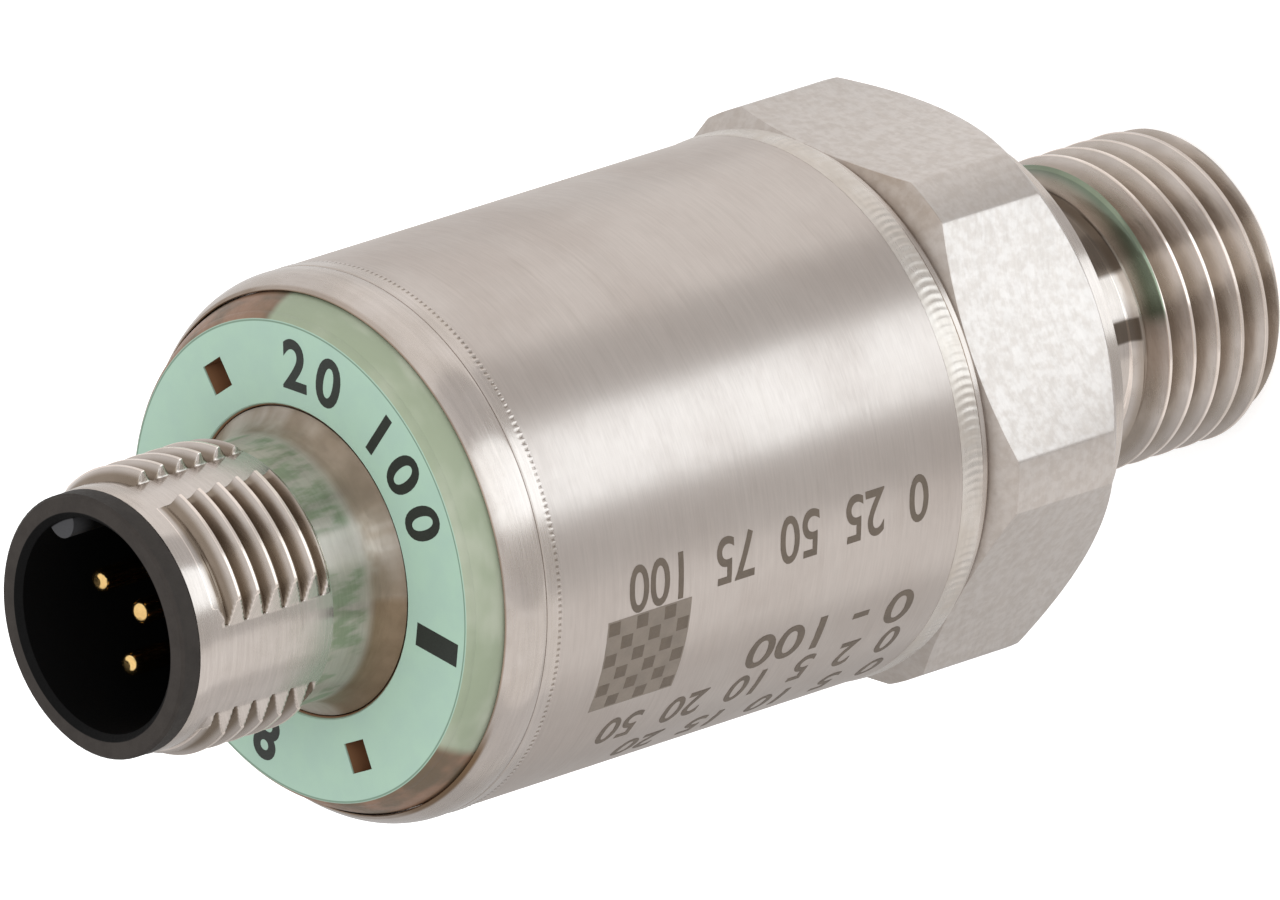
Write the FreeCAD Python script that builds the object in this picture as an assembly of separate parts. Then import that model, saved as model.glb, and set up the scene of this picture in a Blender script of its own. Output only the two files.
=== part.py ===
"""Pressure transmitter: stainless steel G 1/4 stud and hexagon, welded sleeve, M12 plug on top.

Millimetres. +Z is up, along the turned axis. The origin is the centre of the sealing face,
where the collar under the hexagon meets the port that the stud screws into.
"""
import FreeCAD, Part
import math
import os

# Process connection
THREAD_R = 13.157 / 2        # G 1/4 major radius
STUD_LENGTH = 12.0
STUD_CHAMFER = 0.75
UNDERCUT_LENGTH = 4.0
UNDERCUT_R = 5.6
UNDERCUT_FILLET = 0.7
COLLAR_R = 9.5
COLLAR_HEIGHT = 1.8
HEX_FLATS = 22.0             # across flats
HEX_CORNER_R = 12.1          # the corners are turned off
HEX_HEIGHT = 7.2
PORT_BORE_R = 1.5
SPIGOT_R = 10.55             # centres the sleeve
SPIGOT_HEIGHT = 3.4
LAND_R = 11.1                # ring that the lower weld melts into
LAND_HEIGHT = 0.5

# Housing
SLEEVE_R = 11.4
SLEEVE_WALL = 0.8
SLEEVE_BOTTOM = 10.6
SLEEVE_TOP = 32.6
WELD_PROUD = 0.08
WELD_DEPTH = 0.25

# End cap with its M12 stub
JOINT_Z = 33.2
LIP_R = 10.42
LIP_Z = 34.42
RING_SEAT_Z = 34.3
STUB_ROOT_R = 5.5            # bottom of the M12 thread
STUB_CREST_R = 6.0
STUB_TOP = 46.4
THREAD_TOP = 44.75
THREAD_BOTTOM = 40.0
STUB_BORE_R = 4.95
FLARE_R = 6.36               # foot of the stub, inside the range ring
FLARE_TOP = 38.1
CAP_BORE_R = 8.4
CAP_PLATE = 31.6             # lower face of the cap's end wall
CAP_SKIRT = 30.2
LAND_FLATS = 10.24           # across the two flats on which the thread fades out
LAND_FLAT_ANGLE = 142.0
LAND_SLOT_ANGLE = 52.0       # two slots, a quarter turn from the flats
LAND_SLOT_WIDTH = 20.0       # degrees

# Range ring
RING_TOP = 36.3
RING_IN_R = 6.42
RING_OUT_R = 9.95
RING_FOOT_R = 10.3
WINDOW = 1.25
WINDOW_R = 8.15
WINDOW_DEPTH = 1.1
WINDOW_ANGLES = (99.5, -91.5)

# Connector insert and pins
INSERT_TOP = 47.3
INSERT_RIM_R = 5.45
CAVITY_R = 4.45
CAVITY_FLOOR = 38.4
INSERT_BOTTOM = 30.8
INSERT_TURN = 3.0            # the insert sits a little turned against the hexagon
KEY_REACH = 0.75
KEY_WIDTH = 1.5
PIN_CIRCLE_R = 2.5
PIN_R = 0.5
PIN_TOP = 44.9
TAIL_R = 0.35
TAIL_END = 28.2
GROOVE_Z = 35.6
GROOVE_R = 3.95
ORING_WIRE_R = 0.5
CIRCLIP_Z = 31.2

# Electronics
BOARD_BOTTOM = 17.6
BOARD_TOP = 28.1
BOARD_WIDTH = 17.0
BOARD_THICKNESS = 1.0
BOARD_X = -1.2
PLUG_BOARD_Z = 29.0
CELL_R = 5.2
CELL_SEAT = 11.4
CELL_HEIGHT = 3.2
DIAPHRAGM = 0.35
FILM = 0.12                  # bridge film, and how far the cell board stands above the cell

UP = FreeCAD.Vector(0, 0, 1)
NODES = {}


def point(x, y, z):
    return FreeCAD.Vector(x, y, z)


def cylinder(radius, bottom, top, x=0.0, y=0.0):
    return Part.makeCylinder(radius, top - bottom, point(x, y, bottom), UP)


def tube(outer, inner, bottom, top):
    return cylinder(outer, bottom, top).cut(cylinder(inner, bottom - 1, top + 1))


def block(x0, x1, y0, y1, z0, z1):
    return Part.makeBox(x1 - x0, y1 - y0, z1 - z0, point(x0, y0, z0))


def turned(profile):
    """Solid of revolution from (radius, height) points; a (radius, height, radius, height)
    entry is an arc through the first pair that ends at the second."""
    edges = []
    first = last = point(profile[0][0], 0, profile[0][1])
    for step in profile[1:]:
        end = point(step[-2], 0, step[-1])
        if len(step) == 4:
            edges.append(Part.Arc(last, point(step[0], 0, step[1]), end).toShape())
        else:
            edges.append(Part.makeLine(last, end))
        last = end
    edges.append(Part.makeLine(last, first))
    return Part.Face(Part.Wire(edges)).revolve(point(0, 0, 0), UP, 360)


def turn(shape, degrees):
    return shape.copy().rotated(point(0, 0, 0), UP, degrees)


def fuse(shapes):
    return shapes[0].multiFuse(shapes[1:]).removeSplitter() if len(shapes) > 1 else shapes[0]


def around(radius, degrees):
    angle = math.radians(degrees)
    return radius * math.cos(angle), radius * math.sin(angle)


def arc_middle(start, end, bulge):
    """Point that lies bulge to the left of the middle of the chord from start to end."""
    dr, dz = end[0] - start[0], end[1] - start[1]
    length = math.hypot(dr, dz)
    return ((start[0] + end[0]) / 2 - dz / length * bulge,
            (start[1] + end[1]) / 2 + dr / length * bulge)


def process_connection():
    """Stud, collar and hexagon turned from one bar, with the port bore and the cell's seat."""
    hex_bottom = COLLAR_HEIGHT
    hex_top = COLLAR_HEIGHT + HEX_HEIGHT
    corner = HEX_CORNER_R - HEX_FLATS / 2
    body = turned([
        (0, hex_bottom), (HEX_FLATS / 2, hex_bottom), (HEX_CORNER_R, hex_bottom + corner),
        (HEX_CORNER_R, hex_top - corner * math.tan(math.radians(30))),
        (HEX_FLATS / 2, hex_top), (0, hex_top)])
    points = [point(*around(HEX_FLATS / 2 / math.cos(math.radians(30)), 30 + 60 * i), hex_bottom)
              for i in range(7)]
    prism = Part.Face(Part.makePolygon(points)).extrude(point(0, 0, HEX_HEIGHT))
    hexagon = body.common(prism)
    f = UNDERCUT_FILLET
    k = f * (1 - math.sqrt(0.5))
    end = -STUD_LENGTH
    lead = THREAD_R - UNDERCUT_R
    stud = turned([
        (0, end), (THREAD_R - STUD_CHAMFER, end), (THREAD_R, end + STUD_CHAMFER),
        (THREAD_R, -UNDERCUT_LENGTH - lead), (UNDERCUT_R, -UNDERCUT_LENGTH),
        (UNDERCUT_R, -f), (UNDERCUT_R + k, -k, UNDERCUT_R + f, 0), (COLLAR_R - 0.2, 0),
        (COLLAR_R, 0.2), (COLLAR_R, hex_bottom), (0, hex_bottom)])
    top = turned([
        (0, hex_top), (LAND_R, hex_top), (LAND_R, hex_top + LAND_HEIGHT),
        (SPIGOT_R, hex_top + LAND_HEIGHT), (SPIGOT_R, hex_top + SPIGOT_HEIGHT),
        (CELL_R + 0.8, hex_top + SPIGOT_HEIGHT), (CELL_R + 0.8, CELL_SEAT), (0, CELL_SEAT)])
    whole = fuse([stud, hexagon, top])
    countersink = turned([(0, end), (PORT_BORE_R + 0.6, end), (PORT_BORE_R, end + 0.6),
                          (PORT_BORE_R, CELL_SEAT + 1), (0, CELL_SEAT + 1)])
    return whole.cut(countersink)


def housing_sleeve():
    edge = 0.15
    inner = SLEEVE_R - SLEEVE_WALL
    return turned([
        (inner, SLEEVE_BOTTOM), (SLEEVE_R - edge, SLEEVE_BOTTOM), (SLEEVE_R, SLEEVE_BOTTOM + edge),
        (SLEEVE_R, SLEEVE_TOP - edge), (SLEEVE_R - edge, SLEEVE_TOP), (inner, SLEEVE_TOP)])


def weld_bead(bottom, top, inner, proud):
    """Ring of filler that a circular weld leaves in the gap, a little proud in its middle."""
    start, end = (SLEEVE_R - WELD_DEPTH, bottom), (SLEEVE_R - WELD_DEPTH, top)
    middle = arc_middle(start, end, -(WELD_DEPTH + proud))
    return turned([(inner, bottom), start, (*middle, *end), (inner, top)])


def end_cap():
    """Skirt, rounded lip, seat of the range ring and the M12 stub, turned from one blank."""
    lip_start, lip_end = (SLEEVE_R, JOINT_Z), (LIP_R, LIP_Z)
    lip = arc_middle(lip_start, lip_end, -0.28)
    flare_start, flare_end = (FLARE_R, RING_TOP - 0.1), (STUB_ROOT_R, FLARE_TOP)
    flare = arc_middle(flare_start, flare_end, 0.3)
    skirt_r = SLEEVE_R - SLEEVE_WALL - 0.02
    outside = turned([
        (0, CAP_SKIRT), (skirt_r, CAP_SKIRT), (skirt_r, JOINT_Z), lip_start, (*lip, *lip_end),
        (LIP_R, RING_SEAT_Z), (FLARE_R, RING_SEAT_Z), flare_start, (*flare, *flare_end),
        (STUB_ROOT_R, STUB_TOP - 0.15), (STUB_ROOT_R - 0.15, STUB_TOP),
        (0, STUB_TOP)])
    rise = STUB_CREST_R - STUB_ROOT_R
    lands = turned([
        (STUB_ROOT_R - 0.3, THREAD_BOTTOM - rise), (STUB_ROOT_R, THREAD_BOTTOM - rise),
        (STUB_CREST_R, THREAD_BOTTOM), (STUB_CREST_R, THREAD_TOP),
        (STUB_ROOT_R, THREAD_TOP + rise), (STUB_ROOT_R - 0.3, THREAD_TOP + rise)])
    for half_turn in (0, 180):
        lands = lands.cut(turn(land_flat(), LAND_FLAT_ANGLE + half_turn))
        lands = lands.cut(turn(land_slot(), LAND_SLOT_ANGLE + half_turn))
    bore = turned([
        (0, CAP_SKIRT - 1), (CAP_BORE_R, CAP_SKIRT - 1), (CAP_BORE_R, CAP_PLATE),
        (STUB_BORE_R, CAP_PLATE), (STUB_BORE_R, STUB_TOP + 1), (0, STUB_TOP + 1)])
    slot = ring_key().cut(cylinder(FLARE_R, RING_SEAT_Z - 2, RING_SEAT_Z + 2))
    return fuse([outside, lands]).cut(bore).cut(slot)


def land_flat():
    return block(LAND_FLATS / 2, 9, -9, 9, THREAD_BOTTOM - 2, THREAD_TOP + 2)


def land_slot():
    """Wedge that takes the thread away over a small angle."""
    reach = 9.0
    half = LAND_SLOT_WIDTH / 2
    corners = [(0, 0), around(reach, -half), around(reach, half), (0, 0)]
    wire = Part.makePolygon([point(x, y, THREAD_BOTTOM - 2) for x, y in corners])
    return Part.Face(wire).extrude(point(0, 0, THREAD_TOP - THREAD_BOTTOM + 4))


def ring_key():
    """Small block under the range ring that stops it turning in its seat."""
    return block(7.6, 8.8, -0.8, 0.8, RING_SEAT_Z - 0.5, RING_SEAT_Z + 0.2)


def range_ring():
    edge = 0.12
    body = turned([
        (RING_IN_R, RING_SEAT_Z), (RING_FOOT_R, RING_SEAT_Z), (RING_FOOT_R - 0.05, RING_TOP - 0.5),
        (RING_FOOT_R - 0.15, RING_TOP - 0.18, RING_OUT_R, RING_TOP), (RING_IN_R + edge, RING_TOP),
        (RING_IN_R, RING_TOP - edge)])
    body = body.fuse(ring_key()).removeSplitter()
    half = WINDOW / 2
    for angle in WINDOW_ANGLES:
        window = block(WINDOW_R - half, WINDOW_R + half, -half, half,
                       RING_TOP - WINDOW_DEPTH, RING_TOP + 1)
        body = body.cut(turn(window, angle))
    return body


def connector_insert():
    """Moulded M12 A-coded contact carrier: rim, keyed socket, pin holes and O-ring groove."""
    chamfer = 0.12
    rib = 0.25
    body = turned([
        (0, INSERT_BOTTOM), (STUB_BORE_R - 0.45, INSERT_BOTTOM),
        (STUB_BORE_R - 0.45, CIRCLIP_Z), (3.9, CIRCLIP_Z), (3.9, CIRCLIP_Z + 0.6),
        (STUB_BORE_R - 0.03, CIRCLIP_Z + 0.6),
        (STUB_BORE_R - 0.03, GROOVE_Z), (GROOVE_R, GROOVE_Z), (GROOVE_R, GROOVE_Z + 1.3),
        (STUB_BORE_R - 0.03, GROOVE_Z + 1.3), (STUB_BORE_R - 0.03, STUB_TOP),
        (INSERT_RIM_R, STUB_TOP), (INSERT_RIM_R, INSERT_TOP - chamfer),
        (INSERT_RIM_R - chamfer, INSERT_TOP), (0, INSERT_TOP)])
    socket = turned([
        (0, CAVITY_FLOOR), (CAVITY_R, CAVITY_FLOOR), (CAVITY_R, INSERT_TOP - rib),
        (CAVITY_R + rib, INSERT_TOP), (CAVITY_R + rib, INSERT_TOP + 1), (0, INSERT_TOP + 1)])
    key_nose = CAVITY_R - KEY_REACH
    key_bottom, key_top = CAVITY_FLOOR - 0.2, INSERT_TOP - 0.35
    key = block(key_nose + KEY_WIDTH / 2, CAVITY_R + 1, -KEY_WIDTH / 2, KEY_WIDTH / 2,
                key_bottom, key_top)
    key = key.fuse(cylinder(KEY_WIDTH / 2, key_bottom, key_top, x=key_nose + KEY_WIDTH / 2))
    key = key.common(cylinder(CAVITY_R + 0.2, key_bottom, key_top))
    body = body.cut(socket).fuse(turn(key, 90)).removeSplitter()
    for x, y in pin_places():
        body = body.cut(cylinder(PIN_R, INSERT_BOTTOM - 1, CAVITY_FLOOR + 1, x, y))
    return turn(body, INSERT_TURN)


def pin_places():
    return [around(PIN_CIRCLE_R, 45 + 90 * i) for i in (1, 0, 3, 2)] + [(0.0, 0.0)]


def contact_pin(x, y):
    tip = 0.3
    pin = turned([
        (0, TAIL_END), (TAIL_R, TAIL_END), (TAIL_R, INSERT_BOTTOM), (PIN_R, INSERT_BOTTOM),
        (PIN_R, PIN_TOP - tip), (PIN_R - tip * 0.3, PIN_TOP - tip * 0.25, PIN_R - tip, PIN_TOP),
        (0, PIN_TOP)])
    pin.translate(point(x, y, 0))
    return turn(pin, INSERT_TURN)


def insert_oring():
    middle = GROOVE_Z + 0.65
    return Part.makeTorus(GROOVE_R + ORING_WIRE_R, ORING_WIRE_R, point(0, 0, middle), UP)


def insert_circlip():
    """Open spring ring behind the end wall that keeps the insert from being pulled out."""
    ring = tube(5.6, 3.9, CIRCLIP_Z, CAP_PLATE)
    gap = block(0, 7, -1.0, 1.0, CIRCLIP_Z - 1, CIRCLIP_Z + 1)
    return ring.cut(turn(gap, 225))


def measuring_cell():
    """Steel cup whose thin floor is the diaphragm, welded over the port bore."""
    top = CELL_SEAT + CELL_HEIGHT
    inner = 3.1
    return turned([
        (PORT_BORE_R, CELL_SEAT), (CELL_R, CELL_SEAT), (CELL_R, CELL_SEAT + 0.8),
        (inner + 1.1, CELL_SEAT + 1.1), (inner + 1.1, top), (0, top), (0, top - DIAPHRAGM),
        (inner - 0.3, top - DIAPHRAGM), (inner, top - DIAPHRAGM - 0.3), (inner, CELL_SEAT + 0.9),
        (PORT_BORE_R, CELL_SEAT + 0.5)])


def bridge_film():
    """Strain gauge bridge on the diaphragm: four meander fields on one insulating disc."""
    top = CELL_SEAT + CELL_HEIGHT
    disc = cylinder(2.9, top, top + FILM / 2)
    fields = []
    for i in range(4):
        bars = [block(0.9, 2.2, -0.45 + 0.3 * j, -0.3 + 0.3 * j, top, top + FILM)
                for j in range(4)]
        fields += [turn(bar, 45 + 90 * i) for bar in bars]
    return fuse([disc] + fields)


def cell_board():
    """Ring board round the cell that carries the bridge's signals to the main board."""
    top = CELL_SEAT + CELL_HEIGHT
    board = tube(8.6, 4.2, top - 0.48, top + FILM)
    return board.cut(block(6.3, 9, -3, 3, top - 1, top + 1))


def bond_wires():
    top = CELL_SEAT + CELL_HEIGHT
    wires = []
    for i in range(4):
        loop = Part.makeTorus(1.25, 0.09, point(3.75, 0, top + FILM), point(0, 1, 0))
        arch = loop.common(block(2, 6, -1, 1, top + FILM, top + FILM + 2))
        wires.append(turn(arch, 45 + 90 * i))
    return wires


def board_carrier():
    """Moulded frame: a foot ring on the cell board and two grooved rails for the main board."""
    foot_z = CELL_SEAT + CELL_HEIGHT + FILM
    stand_z = COLLAR_HEIGHT + HEX_HEIGHT + SPIGOT_HEIGHT
    centre = BOARD_X
    parts = [tube(10.3, 6.8, foot_z, foot_z + 1.4), tube(10.3, 8.75, stand_z, foot_z + 0.1)]
    for side in (1, -1):
        rail = block(centre - 1.6, centre + 1.6, 7.4, 9.35, foot_z + 0.6, PLUG_BOARD_Z)
        groove = block(centre - BOARD_THICKNESS / 2, centre + BOARD_THICKNESS / 2,
                       7.0, BOARD_WIDTH / 2, BOARD_BOTTOM, BOARD_TOP + 1)
        rail = rail.cut(groove)
        parts.append(rail if side > 0 else rail.mirror(point(0, 0, 0), point(0, 1, 0)))
    bridge = block(centre - 1.6, centre + 1.6, -7.4, 7.4, foot_z + 0.1, BOARD_BOTTOM)
    bridge = bridge.cut(cylinder(6.6, foot_z - 1, BOARD_BOTTOM - 1.0))
    return fuse(parts + [bridge])


def main_board():
    half = BOARD_THICKNESS / 2
    board = block(BOARD_X - half, BOARD_X + half, -BOARD_WIDTH / 2, BOARD_WIDTH / 2,
                  BOARD_BOTTOM, BOARD_TOP)
    notch = block(BOARD_X - 2, BOARD_X + 2, -1.0, 1.0, BOARD_BOTTOM - 1, BOARD_BOTTOM + 0.8)
    return board.cut(notch)


def front_face():
    return BOARD_X + BOARD_THICKNESS / 2


def back_face():
    return BOARD_X - BOARD_THICKNESS / 2


def flat_chip(side, y, z, width, height, thickness):
    """Chip package that lies on one face of the main board, with a chamfered top."""
    if side > 0:
        chip = block(front_face(), front_face() + thickness, y - width / 2, y + width / 2,
                     z - height / 2, z + height / 2)
        edges = [e for e in chip.Edges if min(v.X for v in e.Vertexes) > front_face() + 0.01]
    else:
        chip = block(back_face() - thickness, back_face(), y - width / 2, y + width / 2,
                     z - height / 2, z + height / 2)
        edges = [e for e in chip.Edges if max(v.X for v in e.Vertexes) < back_face() - 0.01]
    return chip.makeChamfer(min(0.12, thickness / 4), edges)


def signal_converter():
    return flat_chip(1, -3.6, 21.6, 5.0, 5.0, 0.9)


def microcontroller():
    return flat_chip(1, 3.4, 21.7, 6.0, 6.0, 0.9)


def output_driver():
    return flat_chip(-1, -3.6, 22.0, 4.4, 5.0, 1.2)


def voltage_regulator():
    return flat_chip(-1, 3.4, 20.6, 3.0, 3.0, 1.1)


def quartz_crystal():
    return flat_chip(1, 3.4, 26.6, 3.2, 2.0, 0.75)


def tantalum_capacitors():
    return [flat_chip(-1, 3.4, 24.6, 3.4, 2.6, 1.7), flat_chip(-1, -3.4, 26.4, 3.4, 2.2, 1.4)]


def chip_row(side, z, places, width, height, thickness):
    return [flat_chip(side, y, z, width, height, thickness) for y in places]


def ceramic_capacitors():
    return (chip_row(1, 25.9, (-5.4, -3.6, -1.8), 1.2, 2.0, 0.8)
            + chip_row(-1, 18.2, (-2.6, 0.6, 2.2), 1.2, 0.9, 0.6))


def chip_resistors():
    return (chip_row(1, 18.1, (-6.4, -5.2, -4.0, -2.8, 3.0, 4.2), 0.8, 0.8, 0.4)
            + chip_row(-1, 18.2, (-6.2, -4.8, 4.6, 5.8), 0.8, 0.8, 0.4))


def plug_board():
    """Round board that the five pins are soldered into, with the main board's edge below it."""
    board = cylinder(7.9, PLUG_BOARD_Z, PLUG_BOARD_Z + 0.9)
    for x, y in pin_places():
        board = board.cut(turn(cylinder(TAIL_R, 28, 31, x, y), INSERT_TURN))
    for pin in board_link()[1]:
        board = board.cut(pin)
    return board.cut(block(-9, -7.2, -3, 3, 28, 31))


def board_link():
    """Pin header that joins the plug board to the main board."""
    x0 = front_face()
    body = block(x0, x0 + 1.6, -6.6, -3.2, 27.1, PLUG_BOARD_Z)
    pins = [block(x0 + 0.55, x0 + 1.05, y - 0.2, y + 0.2, PLUG_BOARD_Z, 30.4)
            for y in (-5.8, -4.9, -4.0)]
    return body, pins


def ground_spring():
    """Bent strip that leans on the sleeve's wall and takes the board's ground to the housing."""
    width = 1.6
    x0 = back_face()
    reach = -(SLEEVE_R - SLEEVE_WALL)
    path = [(x0, 0), (x0, 3.0), (x0 - 1.0, 3.6), (reach + 1.3, 2.6), (reach + 0.13, 1.6),
            (reach + 0.9, 0.5)]
    thickness = 0.2
    plates = []
    for (xa, za), (xb, zb) in zip(path, path[1:]):
        length = math.hypot(xb - xa, zb - za)
        plate = block(0, length, -width / 2, width / 2, -thickness / 2, thickness / 2)
        tilt = math.degrees(math.atan2(zb - za, xb - xa))
        plate.rotate(point(0, 0, 0), point(0, 1, 0), -tilt)
        plate.translate(point(xa, 0, 23.2 + za))
        plates.append(plate)
        knee = Part.makeCylinder(thickness / 2, width, point(xb, -width / 2, 23.2 + zb),
                                 point(0, 1, 0))
        plates.append(knee)
    spring = fuse(plates)
    return spring.cut(block(x0, x0 + 2, -2, 2, 20, 30))


def flex_lead():
    """Flat ribbon from the cell board up to the main board."""
    width = 4.6
    top = CELL_SEAT + CELL_HEIGHT + FILM
    thickness = 0.15
    x0, x1 = front_face(), 5.6
    vertical = block(x1, x1 + thickness, -width / 2, width / 2, top, top + 1.6)
    bend = Part.makeCylinder(1.4 + thickness, width, point(x1 - 1.4, -width / 2, top + 1.6),
                             point(0, 1, 0))
    bend = bend.cut(Part.makeCylinder(1.4, width + 2, point(x1 - 1.4, -width / 2 - 1, top + 1.6),
                                      point(0, 1, 0)))
    bend = bend.common(block(x1 - 1.4, x1 + 1, -width, width, top + 1.6, top + 4))
    level = block(x0, x1 - 1.4, -width / 2, width / 2, top + 3.0, top + 3.0 + thickness)
    return fuse([vertical, bend, level])


def write_all():
    os.makedirs("parts", exist_ok=True)
    weld_gap = COLLAR_HEIGHT + HEX_HEIGHT + LAND_HEIGHT
    header, header_pins = board_link()
    NODES.update({
        "process_connection": process_connection(),
        "housing_sleeve": housing_sleeve(),
        "lower_weld": weld_bead(weld_gap, SLEEVE_BOTTOM, SPIGOT_R, WELD_PROUD),
        "upper_weld": weld_bead(SLEEVE_TOP, JOINT_Z, SLEEVE_R - SLEEVE_WALL - 0.02, 0.02),
        "end_cap": end_cap(),
        "range_ring": range_ring(),
        "connector_insert": connector_insert(),
        "insert_oring": insert_oring(),
        "insert_circlip": insert_circlip(),
        "measuring_cell": measuring_cell(),
        "bridge_film": bridge_film(),
        "cell_board": cell_board(),
        "bond_wires": Part.makeCompound(bond_wires()),
        "board_carrier": board_carrier(),
        "main_board": main_board(),
        "signal_converter": signal_converter(),
        "microcontroller": microcontroller(),
        "output_driver": output_driver(),
        "voltage_regulator": voltage_regulator(),
        "quartz_crystal": quartz_crystal(),
        "tantalum_capacitors": Part.makeCompound(tantalum_capacitors()),
        "ceramic_capacitors": Part.makeCompound(ceramic_capacitors()),
        "chip_resistors": Part.makeCompound(chip_resistors()),
        "plug_board": plug_board(),
        "board_link": header,
        "board_link_pins": Part.makeCompound(header_pins),
        "ground_spring": ground_spring(),
        "flex_lead": flex_lead(),
    })
    for number, (x, y) in enumerate(pin_places(), start=1):
        NODES["contact_pin_%d" % number] = contact_pin(x, y)
    for name, shape in NODES.items():
        shape.exportStep("parts/%s.step" % name)
        print(name, len(shape.Solids), "solid", round(shape.Volume, 2), "mm3", shape.isValid())


write_all()
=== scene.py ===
import math
import bmesh
import bpy
from mathutils import Matrix, Vector


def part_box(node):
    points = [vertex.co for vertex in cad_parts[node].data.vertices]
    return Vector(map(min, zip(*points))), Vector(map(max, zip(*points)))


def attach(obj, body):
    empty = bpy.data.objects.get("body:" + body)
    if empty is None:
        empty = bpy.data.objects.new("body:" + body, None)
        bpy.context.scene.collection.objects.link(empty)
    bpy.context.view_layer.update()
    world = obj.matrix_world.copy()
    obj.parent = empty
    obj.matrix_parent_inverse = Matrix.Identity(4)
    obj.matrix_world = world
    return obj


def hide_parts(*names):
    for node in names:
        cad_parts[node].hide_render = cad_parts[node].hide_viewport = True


# A pressure transmitter: threaded stud and hexagon below, welded sleeve, range ring and round plug
# socket above. Lengths are millimetres here and are scaled to metres where a mesh is written.
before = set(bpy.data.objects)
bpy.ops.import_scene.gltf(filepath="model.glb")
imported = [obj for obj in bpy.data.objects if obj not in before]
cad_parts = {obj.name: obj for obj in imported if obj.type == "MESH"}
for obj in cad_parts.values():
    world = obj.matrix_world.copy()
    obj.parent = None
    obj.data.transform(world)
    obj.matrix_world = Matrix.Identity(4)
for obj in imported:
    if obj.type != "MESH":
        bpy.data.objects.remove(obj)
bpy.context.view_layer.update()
millimetre = 0.001


def span(node):
    low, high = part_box(node)
    return low.z / millimetre, high.z / millimetre


def reach(node):  # how far a node's box goes out along +X
    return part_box(node)[1].x / millimetre


connectionBottom, connectionTop = span("process_connection")
sleeveBottom, sleeveTop = span("housing_sleeve")
sleeveRadius = reach("housing_sleeve")
capBottom, capTop = span("end_cap")
lowerWeldBottom = span("lower_weld")[0]
jointHeight = span("upper_weld")[1]
ringTop = span("range_ring")[1]
insertTop = span("connector_insert")[1]
lipRadius, lipHeight = 10.84, 35.0   # the end cap's edge round the range ring
sleeveWall = 0.82   # the sleeve's wall, with a little play inside it
print("frame loaded: %.1f mm long" % (insertTop - connectionBottom))


def heading(angle):
    turn = math.radians(angle)
    return math.cos(turn), math.sin(turn)


def bowed(start, end, bulge, steps=10):
    # points of a shallow arc, without its ends; they are left sharp
    a, b = Vector(start), Vector(end)
    side = Vector((a.y - b.y, b.x - a.x)).normalized()
    points = []
    for k in range(1, steps):
        t = k / steps
        points.append(tuple(a.lerp(b, t) + side * bulge * 4 * t * (1 - t)))
    return points


def evenAngles(count, extra=()):
    angles = {round(360 * i / count, 4) for i in range(count)}
    angles |= {round(angle % 360, 4) for angle in extra}
    ordered = sorted(angles)
    return [a for i, a in enumerate(ordered) if i == 0 or a - ordered[i - 1] > 0.02]


def finishedMesh(name, vertices, faces, sharpFrom=32, grooves=None):
    mesh = bpy.data.meshes.new(name)
    mesh.from_pydata([(x * millimetre, y * millimetre, z * millimetre) for x, y, z in vertices],
                     [], faces)
    if grooves:  # how deep in a thread each point lies, for the painted shade in the steel's thread grooves and the painted highlight on its crests
        mesh.attributes.new("groove", "FLOAT", "POINT").data.foreach_set("value", grooves)
    work = bmesh.new()
    work.from_mesh(mesh)
    bmesh.ops.remove_doubles(work, verts=work.verts, dist=0.0008 * millimetre)
    bmesh.ops.dissolve_degenerate(work, edges=work.edges, dist=0.0004 * millimetre)
    for face in work.faces:
        face.smooth = True
    limit = math.radians(sharpFrom)
    for edge in work.edges:
        edge.smooth = len(edge.link_faces) == 2 and edge.calc_face_angle(0) < limit
    work.to_mesh(mesh)
    work.free()
    return mesh


def placed(name, mesh, material, replaced=()):
    piece = bpy.data.objects.new(name, mesh)
    bpy.context.scene.collection.objects.link(piece)
    piece.data.materials.append(material)
    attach(piece, "root")
    if replaced:
        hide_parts(*replaced)


def dressed(node, material):
    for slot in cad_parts[node].material_slots:
        slot.material = material


def addSecondMaterial(mesh, material, chosen):
    # for the faces that chosen picks by their height and their distance from the axis
    mesh.materials.append(material)
    for face in mesh.polygons:
        x, y, height = face.center / millimetre
        if chosen(height, math.hypot(x, y)):
            face.material_index = 1


def turnedMesh(name, outline, angles, shape=None, sharpFrom=32):
    # outline: closed list of (radius, height); shape moves a point by its angle
    vertices = []
    for angle in angles:
        c, s = heading(angle)
        for radius, height in outline:
            if shape:
                radius, height = shape(radius, height, angle)
            vertices.append((radius * c, radius * s, height))
    rows = len(outline)
    faces = []
    for j in range(len(angles)):
        k = (j + 1) % len(angles)
        for i in range(rows):
            m = (i + 1) % rows
            faces.append((j * rows + i, k * rows + i, k * rows + m, j * rows + m))
    return finishedMesh(name, vertices, faces, sharpFrom)


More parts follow.
